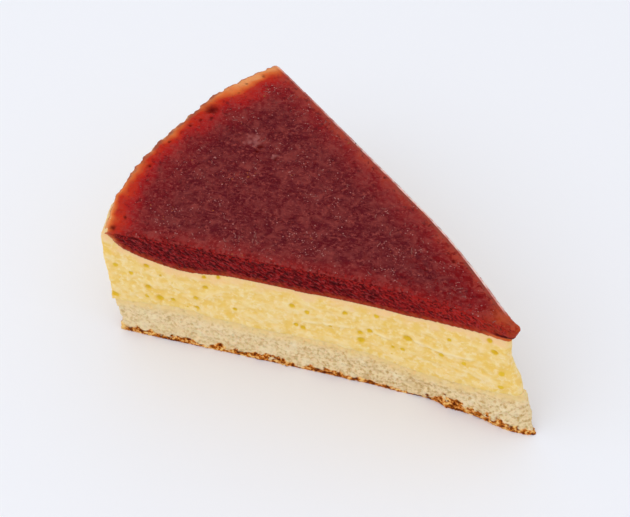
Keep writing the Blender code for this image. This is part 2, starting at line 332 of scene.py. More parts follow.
class Tree:
    """A node tree and short calls that add to it. An input takes a value or the socket that feeds it."""

    def __init__(self, data):
        self.data = data

    def set_inputs(self, node, values):
        for name, value in values.items():
            socket = find_socket(node.inputs, name)
            if isinstance(value, bpy.types.NodeSocket):
                self.data.links.new(value, socket)
            else:
                socket.default_value = value

    def node(self, kind, values=None, **options):
        made = self.data.nodes.new(kind)
        for option, setting in options.items():
            setattr(made, option, setting)
        self.set_inputs(made, values or {})
        return made

    def out(self, kind, values=None, name=0, **options):
        """Adds a node and gives one of its outputs."""
        return find_socket(self.node(kind, values, **options).outputs, name)

    def chain(self, operation, first, *others):
        """Takes the first value with the second, the result with the third, and so on."""
        for other in others:
            first = self.out("ShaderNodeMath", {0: first, 1: other}, operation=operation)
        return first

    def times(self, *factors):
        return self.chain("MULTIPLY", *factors)

    def remap(self, value, low, high, least=0.0, most=1.0):
        values = {"Value": value, "From Min": low, "From Max": high, "To Min": least, "To Max": most}
        return self.out("ShaderNodeMapRange", values, interpolation_type="SMOOTHSTEP")

    def line(self, value, middle, outer, inner, share):
        """Has its share where the value is at the middle, and nothing past the outer half width."""
        off = self.chain("ABSOLUTE", self.chain("SUBTRACT", value, middle), 0.0)
        return self.remap(off, outer, inner, 0.0, share)

    def paint(self, colour, *coats):
        """Lays coats over a colour: each is (share, colour)."""
        for share, coat in coats:
            below, above = (
                each if isinstance(each, bpy.types.NodeSocket) else (*each, 1.0) for each in (colour, coat)
            )
            colour = self.out("ShaderNodeMix", {0: share, 6: below, 7: above}, 2, data_type="RGBA")
        return colour

    def ramp(self, share, *stops):
        """Colour by share: each stop is (share, colour)."""
        made = self.node("ShaderNodeValToRGB", {"Fac": share})
        elements = made.color_ramp.elements
        for place, _ in stops[2:]:
            elements.new(place)
        for element, (place, colour) in zip(elements, stops):
            element.position = place
            element.color = (*colour, 1.0)
        return made.outputs["Color"]

    def attribute(self, name, part="Fac"):
        return self.out("ShaderNodeAttribute", None, part, attribute_name=name)

    def object_place(self):
        return self.out("ShaderNodeTexCoord", None, "Object")

    def inwards(self, lie):
        """The distance from the middle of the circles that the patterns follow."""
        return self.out("ShaderNodeSeparateXYZ", {"Vector": lie}, "X")

    def stretched(self, vector, turn, stretch):
        values = {"Vector": vector, "Rotation": turn, "Scale": stretch}
        return self.out("ShaderNodeMapping", values, "Vector", vector_type="TEXTURE")

    def cloudy(self, vector, grain, detail=3.0, rough=0.5, bent=0.0):
        """Noise whose blotches are about one grain, in metres, across."""
        return self.noise(dict(zip(NOISE, (vector, 1 / grain, detail, rough, bent))))

    def noise(self, values):
        return self.out("ShaderNodeTexNoise", values, "Fac")

    def place_group(self, name, *values):
        """Places a shader node group, with a value for each of its inputs in turn."""
        return self.out("ShaderNodeGroup", dict(enumerate(values)), node_tree=node_group(name))

    def patches(self, vector, grain, low, high, least=0.0, most=1.0, detail=3.0, rough=0.5, bent=0.0):
        """Cloudy noise whose range from low to high gives shares from least to most."""
        return self.place_group("Patches", vector, 1 / grain, detail, rough, bent, low, high, least, most)

    def relief(self, vector, grain, height, detail=3.0, rough=0.6):
        """Fine bumps, about one grain across."""
        return self.place_group("Fine relief", vector, 1 / grain, detail, rough, 0.0, height)

    def shade(self, values):
        self.set_inputs(self.data.nodes["Principled BSDF"], values)


def node_group(name):
    """A node group, made when it is first needed."""
    return bpy.data.node_groups.get(name) or NODE_GROUPS[name](name)


def new_tree(name, kind, inputs, outputs):
    """A node tree with named inputs and outputs, each {name: kind of socket}, and what it is given."""
    data = bpy.data.node_groups.new(name, kind)
    for way, sockets in (("INPUT", inputs), ("OUTPUT", outputs)):
        for label, socket in sockets.items():
            data.interface.new_socket(label, in_out=way, socket_type="NodeSocket" + socket)
    tree = Tree(data)
    return tree, tree.node("NodeGroupInput").outputs


# Shader node groups, for effects that more than one material has.

NOISE = {
    "Vector": "Vector",
    "Scale": "Float",
    "Detail": "Float",
    "Roughness": "Float",
    "Distortion": "Float",
}


def make_patches(name):
    """Cloudy noise, remapped to shares."""
    inputs = {**NOISE, "Low": "Float", "High": "Float", "Least": "Float", "Most": "Float"}
    tree, given = new_tree(name, "ShaderNodeTree", inputs, {"Share": "Float"})
    noisy = tree.noise({each: given[each] for each in NOISE})
    share = tree.remap(noisy, given["Low"], given["High"], given["Least"], given["Most"])
    tree.node("NodeGroupOutput", {"Share": share})
    return tree.data


def make_relief(name):
    """Fine bumps."""
    inputs = {**NOISE, "Height": "Float"}
    tree, given = new_tree(name, "ShaderNodeTree", inputs, {"Normal": "Vector"})
    noisy = tree.noise({each: given[each] for each in NOISE})
    values = {"Height": noisy, "Distance": given["Height"], "Strength": 1.0}
    tree.node("NodeGroupOutput", {"Normal": tree.out("ShaderNodeBump", values, "Normal")})
    return tree.data


def make_crust(name):
    """Pale, brown and dark flecks."""
    inputs = {"Vector": "Vector", "Dark": "Color", "Brown": "Color", "Pale": "Color"}
    tree, given = new_tree(name, "ShaderNodeTree", inputs, {"Colour": "Color"})
    flecks = tree.cloudy(given["Vector"], CRUST_GRAIN, detail=4.0, rough=0.7)
    brown, pale = (
        tree.out("ShaderNodeMapRange", {"Value": flecks, "From Min": low, "From Max": high})
        for low, high in ((0.43, 0.51), (0.51, 0.61))
    )
    colour = tree.paint(given["Dark"], (brown, given["Brown"]), (pale, given["Pale"]))
    tree.node("NodeGroupOutput", {"Colour": colour})
    return tree.data


# Geometry Nodes.


def geometry_tree(name, floats, others):
    """A tree that takes and gives a geometry."""
    inputs = {"Geometry": "Geometry", **dict.fromkeys(floats, "Float"), **others}
    return new_tree(name, "GeometryNodeTree", inputs, {"Geometry": "Geometry"})


def end_tree(tree, geometry, material):
    """Ends a tree with a plain geometry of one material."""
    real = tree.out("GeometryNodeRealizeInstances", {"Geometry": geometry})
    painted = tree.out("GeometryNodeSetMaterial", {"Geometry": real, "Material": material})
    tree.node("NodeGroupOutput", {"Geometry": painted})
    return tree.data


def run_tree(thing, name, values):
    """Runs a tree on an object and keeps what it gives as the object's plain mesh."""
    modifier = thing.modifiers.new(name, "NODES")
    modifier.node_group = node_group(name)
    for socket in modifier.node_group.interface.items_tree:
        if socket.in_out == "INPUT" and socket.name in values:
            modifier[socket.identifier] = values[socket.name]
    thing.update_tag()
    return bake_modifiers(thing)


def named_value(tree, name):
    return tree.out("GeometryNodeInputNamedAttribute", {"Name": name}, data_type="FLOAT")


def random_value(tree, seed, low=0.0, high=1.0):
    values = {"Min": low, "Max": high, "Seed": seed}
    return tree.out("FunctionNodeRandomValue", values, "Value", data_type="FLOAT")


def stored(tree, geometry, name, value):
    values = {"Geometry": geometry, "Name": name, "Value": value}
    return tree.out("GeometryNodeStoreNamedAttribute", values, data_type="FLOAT")


def mostly_small(tree, given):
    """Random sizes from the smallest to the largest, of which only a few are large."""
    share = tree.chain("POWER", random_value(tree, given["Seed"]), 2.5)
    values = {"Value": share, "To Min": given["Smallest"], "To Max": given["Largest"]}
    return tree.out("ShaderNodeMapRange", values)


def sample_nearest(tree, points, index, value, data_type="FLOAT"):
    values = {"Geometry": points, "Value": value, "Index": index}
    return tree.out("GeometryNodeSampleIndex", values, "Value", data_type=data_type)


def vector_math(tree, operation, values, name=0):
    return tree.out("ShaderNodeVectorMath", values, name, operation=operation)


def make_pits(name):
    """Sinks pits into a surface: random ones where "open_face" allows, and the points of an object."""
    floats = ("Density", "Spacing", "Smallest", "Largest", "Depth", "Steepness", "Raggedness")
    others = {"Seed": "Int", "Chosen": "Object", "Material": "Material"}
    tree, given = geometry_tree(name, floats, others)
    values = {
        "Mesh": given["Geometry"],
        "Distance Min": given["Spacing"],
        "Density Max": given["Density"],
        "Density Factor": named_value(tree, "open_face"),
        "Seed": given["Seed"],
    }
    kind = "GeometryNodeDistributePointsOnFaces"
    scattered = tree.out(kind, values, "Points", distribute_method="POISSON")
    radius = mostly_small(tree, given)
    sized = stored(tree, scattered, "reach", radius)
    sized = stored(tree, sized, "sink", tree.times(radius, given["Depth"]))
    chosen = tree.out("GeometryNodeObjectInfo", {"Object": given["Chosen"]}, "Geometry")
    joined = tree.node("GeometryNodeJoinGeometry", {"Geometry": sized})
    tree.set_inputs(joined, {"Geometry": tree.out("GeometryNodeMeshToPoints", {0: chosen})})
    points = joined.outputs[0]

    place = tree.out("GeometryNodeInputPosition")
    values = {"Vector": place, "Scale": 1 / PIT_WOBBLE_GRAIN, "Detail": 1.0}
    wobble = tree.out("ShaderNodeTexNoise", values, "Color")
    centred = vector_math(tree, "SUBTRACT", {0: wobble, 1: (0.5, 0.5, 0.5)})
    moved = vector_math(tree, "SCALE", {0: centred, "Scale": given["Raggedness"]})
    looked_at = vector_math(tree, "ADD", {0: place, 1: moved})
    values = {"Geometry": points, "Sample Position": looked_at}
    nearest = tree.out("GeometryNodeSampleNearest", values)
    centre = sample_nearest(tree, points, nearest, place, "FLOAT_VECTOR")
    radius = sample_nearest(tree, points, nearest, named_value(tree, "reach"))
    sink = sample_nearest(tree, points, nearest, named_value(tree, "sink"))
    away = vector_math(tree, "DISTANCE", {0: looked_at, 1: centre}, "Value")
    wall_foot = tree.chain("SUBTRACT", 1.0, given["Steepness"])
    pit = tree.remap(tree.chain("DIVIDE", away, radius), 1.0, wall_foot)
    marked = stored(tree, given["Geometry"], "pit", pit)
    depth = tree.times(pit, sink, -1.0)
    inwards = vector_math(tree, "SCALE", {0: tree.out("GeometryNodeInputNormal"), "Scale": depth})
    sunk = tree.out("GeometryNodeSetPosition", {"Geometry": marked, "Offset": inwards})
    return end_tree(tree, sunk, given["Material"])


def make_scatter(name):
    """Puts copies of a small shape on a surface, as densely as its "bit_share" says."""
    floats = ("Density", "Smallest", "Largest", "Flatness", "Tumble")
    others = {"Seed": "Int", "Shape": "Object", "Material": "Material"}
    tree, given = geometry_tree(name, floats, others)
    values = {
        "Mesh": given["Geometry"],
        "Density": tree.times(named_value(tree, "bit_share"), given["Density"]),
        "Seed": given["Seed"],
    }
    scatter = tree.node("GeometryNodeDistributePointsOnFaces", values, distribute_method="RANDOM")
    size = mostly_small(tree, given)
    thickness = tree.times(size, given["Flatness"])
    values = {
        "Points": find_socket(scatter.outputs, "Points"),
        "Instance": tree.out("GeometryNodeObjectInfo", {"Object": given["Shape"]}, "Geometry"),
        "Rotation": find_socket(scatter.outputs, "Rotation"),
        "Scale": tree.out("ShaderNodeCombineXYZ", {"X": size, "Y": size, "Z": thickness}),
    }
    placed = tree.out("GeometryNodeInstanceOnPoints", values)
    angle = random_value(tree, given["Seed"], 0.0, math.tau)
    tip_over = tree.times(angle, given["Tumble"])
    turn = tree.out("ShaderNodeCombineXYZ", {"X": tip_over, "Y": tip_over, "Z": angle})
    turned = tree.out("GeometryNodeRotateInstances", {"Instances": placed, "Rotation": turn})
    return end_tree(tree, turned, given["Material"])


NODE_GROUPS = {
    "Patches": make_patches,
    "Fine relief": make_relief,
    "Browned crust": make_crust,
    "Pits": make_pits,
    "Scattered bits": make_scatter,
}


# Skins.


def search_tree(node, direction=None):
    """A search tree over a layer's faces, or over those of them that look one way."""
    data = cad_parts[node].data
    corners = [vertex.co for vertex in data.vertices]
    picked = [
        face.vertices[:]
        for face in data.polygons
        if direction is None or face.normal.dot(direction) > SAME_WAY
    ]
    return BVHTree.FromPolygons(corners, picked)


def distances(points, node, direction=None):
    """How far each point is from a layer, or from those of its faces that look one way."""
    tree = search_tree(node, direction)
    return np.array([tree.find_nearest(Vector(point))[3] for point in points])


def smooth_step(values):
    share = np.clip(values, 0.0, 1.0)
    return share * share * (3 - 2 * share)


def fades(values, reach):
    """1 at a distance of 0, smoothly down to 0 at the reach."""
    return smooth_step(1 - values / reach)


def hill(values, middle, half_width):
    """1 at the middle, down towards 0 on both sides of it."""
    return np.exp(-(((values - middle) / half_width) ** 2))


def vectors_of(items, name):
    flat = np.empty(len(items) * 3, np.float32)
    items.foreach_get(name, flat)
    return flat.reshape(-1, 3).astype(float)


def points_of(mesh):
    return vectors_of(mesh.vertices, "co")


def normals_of(mesh):
    return vectors_of(mesh.vertex_normals, "vector")


def set_points(mesh, points):
    mesh.vertices.foreach_set("co", points.astype(np.float32).ravel())
    mesh.update()


def set_attributes(mesh, **values):
    """Stores a number or a vector for each point."""
    for name, each in values.items():
        kind, part = ("FLOAT_VECTOR", "vector") if each.ndim == 2 else ("FLOAT", "value")
        layer = mesh.attributes.new(name, kind, "POINT")
        layer.data.foreach_set(part, each.astype(np.float32).ravel())


def lie_of(points):
    """How points lie: distance from the middle of the circles, place along the arc, and height."""
    x, y = FAN_X - points[:, 0], points[:, 1]
    inwards = np.hypot(x, y)
    return np.stack((inwards, np.arctan2(y, x) * inwards, points[:, 2]), axis=1)


def noise_at(points, grain, seed=0.0, stretch=(1.0, 1.0, 1.0)):
    """Smooth noise, mostly from -0.5 to 0.5, whose waves are about one grain long."""
    scaled = points / (np.array(stretch) * grain) + seed
    return np.array([noise.noise(Vector(point)) for point in scaled])


def inwards_of(points):
    """The level way from each point to the middle of the circles that the patterns follow."""
    ways = np.stack((FAN_X - points[:, 0], -points[:, 1], np.zeros(len(points))), axis=1)
    return ways / np.linalg.norm(ways, axis=1)[:, None]


def ragged_edge(lie):
    """How far the top of the outer wall stands out of line, place by place."""
    return 0.0007 * noise_at(lie, 0.0030, 2.0) + 0.0005 * noise_at(lie, 0.0012, 6.0)


def tilted(lie, tilt):
    """The lie turned so that its first axis climbs away from the tip."""
    along = lie[:, 0] * math.cos(tilt) + lie[:, 2] * math.sin(tilt)
    upwards = lie[:, 2] * math.cos(tilt) - lie[:, 0] * math.sin(tilt)
    return np.stack((along, lie[:, 1], upwards), axis=1)


def new_object(name, data):
    made = bpy.data.objects.new(name, data)
    bpy.context.scene.collection.objects.link(made)
    return made


def remove_object(thing):
    mesh = thing.data
    bpy.data.objects.remove(thing)
    bpy.data.meshes.remove(mesh)


def bake_modifiers(thing):
    """Turns what the modifiers make of an object into its plain mesh."""
    evaluated = thing.evaluated_get(bpy.context.evaluated_depsgraph_get())
    mesh = bpy.data.meshes.new_from_object(evaluated)
    thing.modifiers.clear()
    thing.vertex_groups.clear()
    old = thing.data
    thing.data = mesh
    bpy.data.meshes.remove(old)
    mesh.name = thing.name
    return mesh


def smooth_copy(node, name):
    """A copy of a layer's solid whose facets are rounded off but whose edges stay sharp."""
    copy = bmesh.new()
    copy.from_mesh(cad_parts[node].data)
    bmesh.ops.remove_doubles(copy, verts=copy.verts[:], dist=MERGE_DISTANCE)
    bmesh.ops.join_triangles(
        copy, faces=copy.faces[:], angle_face_threshold=1.0, angle_shape_threshold=1.5
    )
    crease = copy.edges.layers.float.new("crease_edge")
    for edge in copy.edges:
        if edge.calc_face_angle(0.0) > CREASE_ANGLE:
            edge[crease] = 1.0
    thing = object_of(name, copy)
    rounded = thing.modifiers.new("Round facets", "SUBSURF")
    rounded.levels = rounded.render_levels = 2
    return thing


def object_of(name, shape):
    """An object of what was built in mesh code."""
    mesh = bpy.data.meshes.new(name)
    shape.to_mesh(mesh)
    shape.free()
    return new_object(name, mesh)


def facing_layers(points, normals, node, directions):
    """Marks the points that face another layer and lie back from the slice's sides."""
    unseen = np.zeros(len(points), bool)
    for direction in directions:
        unseen |= normals @ np.array(direction) > 0.5
    from_sides = [distances(points[unseen], node, side) for side in (NEAR_CUT, FAR_CUT, WALL)]
    unseen[unseen] = np.min(from_sides, axis=0) > HIDDEN_MARGIN
    return unseen


def grow_skin(node, name, step, hidden_ways):
    """A fine, even skin over a layer, coarse where it faces the layers above and below.

    Gives its object, its points with their normals and lie, and how much each is on an upright side.
    """
    thing = smooth_copy(node, name)
    even = thing.modifiers.new("Even skin", "REMESH")
    even.mode = "VOXEL"
    even.voxel_size = step
    soften = thing.modifiers.new("Soften edges", "SMOOTH")
    soften.factor = 0.5
    soften.iterations = 3
    mesh = bake_modifiers(thing)
    unseen = facing_layers(points_of(mesh), normals_of(mesh), node, hidden_ways)
    group = thing.vertex_groups.new(name="unseen")
    group.add(np.nonzero(unseen)[0].tolist(), 1.0, "REPLACE")
    thin_out = thing.modifiers.new("Thin out what is hidden", "DECIMATE")
    thin_out.vertex_group = "unseen"
    thin_out.vertex_group_factor = 1000.0
    thin_out.ratio = 1.0 - THINNED_SHARE * unseen.mean()
    mesh = bake_modifiers(thing)
    points, normals = points_of(mesh), normals_of(mesh)
    on_side = 1 - np.clip(np.abs(normals[:, 2]) * SIDE_SHARPNESS, 0.0, 1.0)
    return thing, points, normals, lie_of(points), on_side


def make_marks(name, marks, place_of):
    """Points that carry a radius and a depth, for the pits: each mark is (a, b, radius, depth)."""
    mesh = bpy.data.meshes.new(name)
    mesh.from_pydata([place_of(first, second) for first, second, _, _ in marks], [], [])
    _, _, reach, sink = np.transpose(marks)
    set_attributes(mesh, reach=reach, sink=sink)
    return new_object(name, mesh)


def sink_pits(thing, pits, material, chosen=None, density=0.0, smallest=0.001, largest=0.001):
    """Sinks random pits into a skin, and the chosen ones, whose marks are then removed."""
    values = dict(zip(PIT_INPUTS, pits), Density=density, Smallest=smallest, Largest=largest)
    values["Material"] = material
    if chosen:
        values["Chosen"] = chosen
    run_tree(thing, "Pits", values)
    if chosen:
        remove_object(chosen)


def scatter_bits(name, bits, skin, shape, material):
    """An object of copies of a small shape, spread over a skin."""
    thing = new_object(name, skin.data.copy())
    values = dict(zip(BIT_INPUTS, bits), Shape=shape, Material=material)
    run_tree(thing, "Scattered bits", values)
    return thing


def make_lump(name, roughness=0.0):
    """A small round or lumpy shape of unit radius."""
    ball = bmesh.new()
    bmesh.ops.create_icosphere(ball, subdivisions=1, radius=1.0)
    for vertex in ball.verts:
        vertex.co *= 1 + roughness * noise.noise(vertex.co * 1.7)
    return object_of(name, ball)


def finish_piece(thing, slot, *nodes):
    thing.data.shade_smooth()
    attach(thing, BODY)
    if nodes:
        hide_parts(*nodes)


# Materials. A range goes from the place where a coat has its least share to where it has its most.


def new_material(name, values):
    """A material whose shader has these values, and its tree."""
    material = bpy.data.materials.new(name)
    material.use_nodes = True
    tree = Tree(material.node_tree)
    tree.shade(values)
    return material, tree


def jelly_material(settings):
    values = {
        "IOR": 1.12,
        "Subsurface Weight": 0.35,
        "Subsurface Scale": 0.0015,
        "Subsurface Radius": (1.0, 0.15, 0.10),
    }
    material, tree = new_material("berry jelly", values)
    place, from_tip = tree.object_place(), tree.attribute("from_tip")
    worn = tree.times(
        tree.patches(place, 0.0012, 0.46, 0.56, 0.0, 0.9, rough=0.65),
        tree.remap(tree.attribute("from_near"), 0.0022, 0.0004),
        tree.remap(tree.attribute("rim"), 0.0030, 0.0080),
    )
    top_share = tree.chain("SUBTRACT", tree.attribute("top_face"), worn)
    patchy = tree.patches(place, 0.0020, 0.35, 0.65, 0.2, 1.0)
    foot, line, glow = tip_lines(tree, from_tip)
    shine, seam = far_edge_lines(tree, place, from_tip)
    colour = tree.paint(
        jelly_cut_colour(tree, from_tip, settings),
        (top_share, jelly_top_colour(tree, place, from_tip, settings)),
        (tree.times(patchy, tree.remap(from_tip, 0.014, 0.002, 0.0, 0.7)), settings.cut_border),
        (foot, settings.orange),
        (line, settings.cut_dark),
        (tree.times(glow, top_share), settings.orange),
        (shine, settings.edge_line),
        (seam, settings.outline),
        (tree.attribute("pit"), settings.bruise),
    )
    gloss = tree.patches(place, 0.0016, 0.3, 0.7, 0.26, 0.46)
    tree.shade({"Base Color": colour, "Roughness": gloss, "Normal": tree.relief(place, 0.0007, 0.00010)})
    return material


def far_edge_lines(tree, place, from_tip):
    """The shine along the far edge of the top, and the darker seam within it."""
    from_far = tree.attribute("from_far")
    on_top = tree.times(
        tree.remap(from_tip, 0.004, 0.010),
        tree.remap(from_tip, 0.105, 0.044, 0.35),
        tree.patches(place, 0.0030, 0.35, 0.60, 0.4, 1.0),
        tree.remap(tree.attribute("from_top"), 0.0008, 0.0003),
    )
    shine = tree.remap(from_far, 0.00095, 0.00070)
    seam = tree.line(from_far, 0.00135, 0.00045, 0.00015, 0.85)
    return tree.times(shine, on_top), tree.times(seam, on_top)


def tip_lines(tree, from_tip):
    """At the tip: the jelly's paler foot, the dark line over it, and the glow of its top."""
    from_cream = tree.attribute("from_cream")
    foot = tree.remap(from_cream, 0.0016, 0.0010, 0.0, 0.75)
    foot = tree.times(foot, tree.remap(from_tip, 0.0105, 0.0060))
    line = tree.line(from_cream, 0.0019, 0.0006, 0.0002, 0.9)
    line = tree.times(line, tree.remap(from_tip, 0.0075, 0.0050))
    return foot, line, tree.remap(from_tip, 0.0120, 0.0040, 0.0, 0.2)


def jelly_top_colour(tree, place, from_tip, settings):
    """The top's colour: redder and paler towards its edges, painted light along the far cut, painted shade
    on the rim's outline, and mottled with fruit.
    """
    uneven = tree.patches(place, 0.0040, 0.3, 0.7, -0.0010, 0.0010)
    rim, from_near = tree.attribute("rim"), tree.attribute("from_near")
    body = tree.ramp(
        tree.chain("DIVIDE", rim, RIM_WIDTH),
        (0.03, settings.thin),
        (0.13, settings.orange),
        (0.25, settings.red),
        (0.38, settings.shallow),
        (0.62, settings.middle),
        (0.95, settings.deep),
    )
    near = tree.remap(tree.chain("ADD", from_near, uneven), 0.0072, -0.0005, 0.0, 0.75)
    from_far = tree.chain("ADD", tree.attribute("from_far"), uneven)
    off_rim = tree.remap(rim, 0.002, 0.007, 0.1, 1.0)
    body = tree.paint(
        body,
        (tree.times(near, tree.remap(rim, 0.002, 0.009)), settings.near_edge),
        # Painted light along the far cut: the top is paler and warmer where light comes through from
        # behind.
        (tree.times(tree.remap(from_far, 0.0125, 0.0, 0.0, 0.5), off_rim), settings.shallow),
        (tree.times(tree.remap(from_far, 0.0046, 0.0004, 0.0, 0.9), off_rim), settings.lit_edge),
    )
    hollows = tree.patches(place, 0.0017, 0.47, 0.41, 0.0, 0.75, rough=0.6, bent=0.8)
    crest = tree.times(
        tree.remap(from_near, 0.00060, 0.00015),
        tree.patches(place, 0.0016, 0.42, 0.60, 0.0, 0.6),
        tree.remap(from_tip, 0.040, 0.060, 0.3),
    )
    torn = tree.patches(place, 0.0030, 0.38, 0.55, 0.4, 0.9)
    return tree.paint(
        body,
        (tree.remap(rim, 0.0015, 0.0080, 0.15, 1.0), mottle(tree, place, body, settings)),
        (tree.times(hollows, tree.remap(from_tip, 0.048, 0.022)), settings.cut_body),
        (crest, settings.pulp),
        # The rim's outline is painted shade.
        (tree.times(tree.attribute("outline"), torn), settings.outline),
    )


def mottle(tree, place, body, settings):
    """Clots, pulp and curled strands of fruit over a colour, and painted highlights on lumps."""
    dark = tree.patches(place, 0.0014, 0.48, 0.34, 0.0, 0.82, detail=4.0, rough=0.7)
    blotches = tree.patches(place, 0.0034, 0.42, 0.70, 0.0, 0.60, detail=6.0, rough=0.68, bent=0.6)
    clots = tree.patches(place, 0.0009, 0.50, 0.66, 0.0, 0.75, detail=4.0, rough=0.7)
    drawn = tree.stretched(place, (0.0, 0.0, 0.35), (5.0, 1.0, 1.0))
    curls = tree.patches(drawn, 0.0005, 0.55, 0.72, 0.0, 0.62, detail=2.0, bent=1.4)
    # Painted highlight where light catches a lump.
    lump = tree.times(tree.attribute("lump"), tree.remap(clots, 0.0, 0.6, 0.45, 0.85))
    return tree.paint(
        body,
        (dark, settings.shadow),
        (tree.chain("MAXIMUM", blotches, clots, curls), settings.pulp),
        (lump, settings.speck),
    )


def jelly_cut_colour(tree, from_tip, settings):
    """The colour of the cut faces: dull red strands over dark hollows, warmer along the cream."""
    lie, from_top = tree.attribute("lie", "Vector"), tree.attribute("from_top")
    along = tree.stretched(lie, (0.0, -FIBRE_TILT, 0.0), (2.6, 1.0, 1.0))
    strand = tree.chain(
        "ADD",
        tree.times(tree.cloudy(along, 0.0006, rough=0.65, bent=0.8), 0.95),
        tree.times(tree.cloudy(lie, 0.0022, rough=0.6), 0.25),
        tree.times(tree.attribute("fibre"), 0.12),
        tree.remap(from_tip, 0.060, 0.002, 0.0, 0.19),
    )
    stops = ((0.52, settings.cut_dark), (0.62, settings.cut_body), (0.84, settings.cut_bright))
    veins = tree.patches(along, 0.0006, 0.53, 0.64, 0.0, 0.75, rough=0.6, bent=0.6)
    grains = tree.patches(lie, 0.0006, 0.50, 0.60, 0.0, 0.85, detail=2.0)
    gaps = tree.patches(lie, 0.0008, 0.49, 0.41, 0.0, 0.9, detail=2.0, bent=0.5)
    near_tip = tree.remap(from_tip, 0.070, 0.030, 0.0, 0.8)
    gaps_share = tree.chain("MAXIMUM", near_tip, tree.remap(from_top, 0.0040, 0.0010))
    crest = tree.remap(from_top, 0.0014, 0.0, 0.0, 0.7)
    hem = tree.patches(lie, 0.0016, 0.3, 0.7, -0.0006, 0.0006)
    from_cream = tree.chain("ADD", tree.attribute("from_cream"), hem)
    return tree.paint(
        tree.ramp(strand, *stops),
        (veins, settings.cut_vein),
        # Near the top edge, the brighter grains are painted glints.
        (tree.times(grains, tree.remap(from_top, 0.0036, 0.0008)), settings.cut_bright),
        (tree.times(gaps, gaps_share), settings.cut_dark),
        (tree.times(crest, tree.patches(lie, 0.0012, 0.40, 0.60, 0.2, 1.0)), settings.near_edge),
        (tree.remap(from_cream, 0.0026, 0.0004, 0.0, 0.9), settings.cut_border),
    )


def cream_material(settings):
    values = {
        "Roughness": 0.5,
        "IOR": 1.4,
        "Subsurface Weight": 0.4,
        "Subsurface Scale": 0.0012,
        "Subsurface Radius": (1.0, 0.75, 0.35),
    }
    material, tree = new_material("vanilla cream", values)
    lie, relief = tree.attribute("lie", "Vector"), tree.attribute("relief")
    flat = tree.stretched(lie, (0.0, 0.0, 0.0), (1.5, 1.0, 1.0))
    golden = tree.patches(lie, 0.0040, 0.50, 0.62)
    # Yellower in the relief's hollows: painted shade; the noise patches and the golden tip are the cream's
    # own tone.
    rich_and_shade = tree.chain(
        "MAXIMUM",
        tree.remap(relief, 0.55, 0.10, 0.0, 0.8),
        tree.patches(flat, 0.0030, 0.42, 0.64, detail=4.0, rough=0.65),
        tree.times(golden, tree.remap(tree.inwards(lie), 0.080, 0.020, 0.35, 1.0)),
    )
    # Paler on the relief's ridges: a painted highlight; the patches and the smears are the cream's own
    # tone.
    pale = tree.chain(
        "MAXIMUM",
        tree.remap(relief, 0.50, 1.00, 0.0, 0.45),
        tree.patches(lie, 0.0017, 0.47, 0.64, 0.0, 0.65, detail=4.0, rough=0.65),
        tree.attribute("smear"),
    )
    seeping = tree.patches(lie, 0.0040, 0.3, 0.7, -0.0014, 0.0014, detail=4.0)
    from_jelly = tree.chain("ADD", tree.attribute("from_jelly"), seeping)
    stain = tree.patches(lie, 0.0030, 0.35, 0.65, 0.55, 1.0)
    colour = tree.paint(
        settings.body,
        (rich_and_shade, settings.rich_and_shade),
        (pale, settings.pale),
        (tree.remap(from_jelly, 0.0044, 0.0002, 0.0, 0.95), settings.under_jelly),
        (tree.times(tree.attribute("lip"), stain), settings.lip),
        (tree.remap(tree.attribute("pit"), 0.0, 0.5), settings.hole),
    )
    tree.shade({"Base Color": colour, "Normal": tree.relief(lie, 0.0007, 0.00012)})
    return material


def sponge_material(settings):
    values = {"Roughness": 0.85, "IOR": 1.2, "Subsurface Weight": 0.15, "Subsurface Scale": 0.0008}
    material, tree = new_material("sponge", values)
    lie, place = tree.attribute("lie", "Vector"), tree.object_place()
    zones = tree.cloudy(lie, 0.0045, rough=0.6)
    soaked = tree.remap(tree.attribute("from_cream"), 0.0050, 0.0006)
    colour = tree.paint(
        settings.shade,
        (tree.patches(place, 0.0012, 0.30, 0.56, rough=0.6), settings.crumb),
        (tree.times(tree.attribute("pit"), 0.55), settings.shade),
        (tree.remap(zones, 0.46, 0.32, 0.0, 0.35), settings.shade),
        (tree.remap(zones, 0.54, 0.70, 0.0, 0.6), settings.light),
        (tree.remap(tree.inwards(lie), 0.060, 0.105, 0.0, 0.32), settings.crumb),
        (tree.times(soaked, tree.patches(lie, 0.0024, 0.3, 0.6, 0.5, 1.0)), settings.soaked),
        (tree.attribute("crust"), crust_colour(tree, place, settings)),
        (tree.attribute("corner"), settings.pale_crust),
    )
    tree.shade({"Base Color": colour, "Normal": tree.relief(place, 0.0009, 0.00025, detail=4.0, rough=0.7)})
    return material


def crust_colour(tree, place, settings):
    tones = (settings.dark_crust, settings.crust, settings.pale_crust)
    return tree.place_group("Browned crust", place, *((*each, 1.0) for each in tones))


def crust_material(settings):
    material, tree = new_material("browned crust", {"Roughness": 0.85, "IOR": 1.2})
    tree.shade({"Base Color": crust_colour(tree, tree.object_place(), settings)})
    return material


def speck_material(name, colour):
    """One colour that varies a little from speck to speck."""
    material, tree = new_material(name, {"Roughness": 0.2})
    share = tree.patches(tree.object_place(), 0.002, 0.3, 0.7)
    darker = tuple(part * 0.7 for part in colour)
    tree.shade({"Base Color": tree.paint(darker, (share, colour))})
    return material


# The pieces.


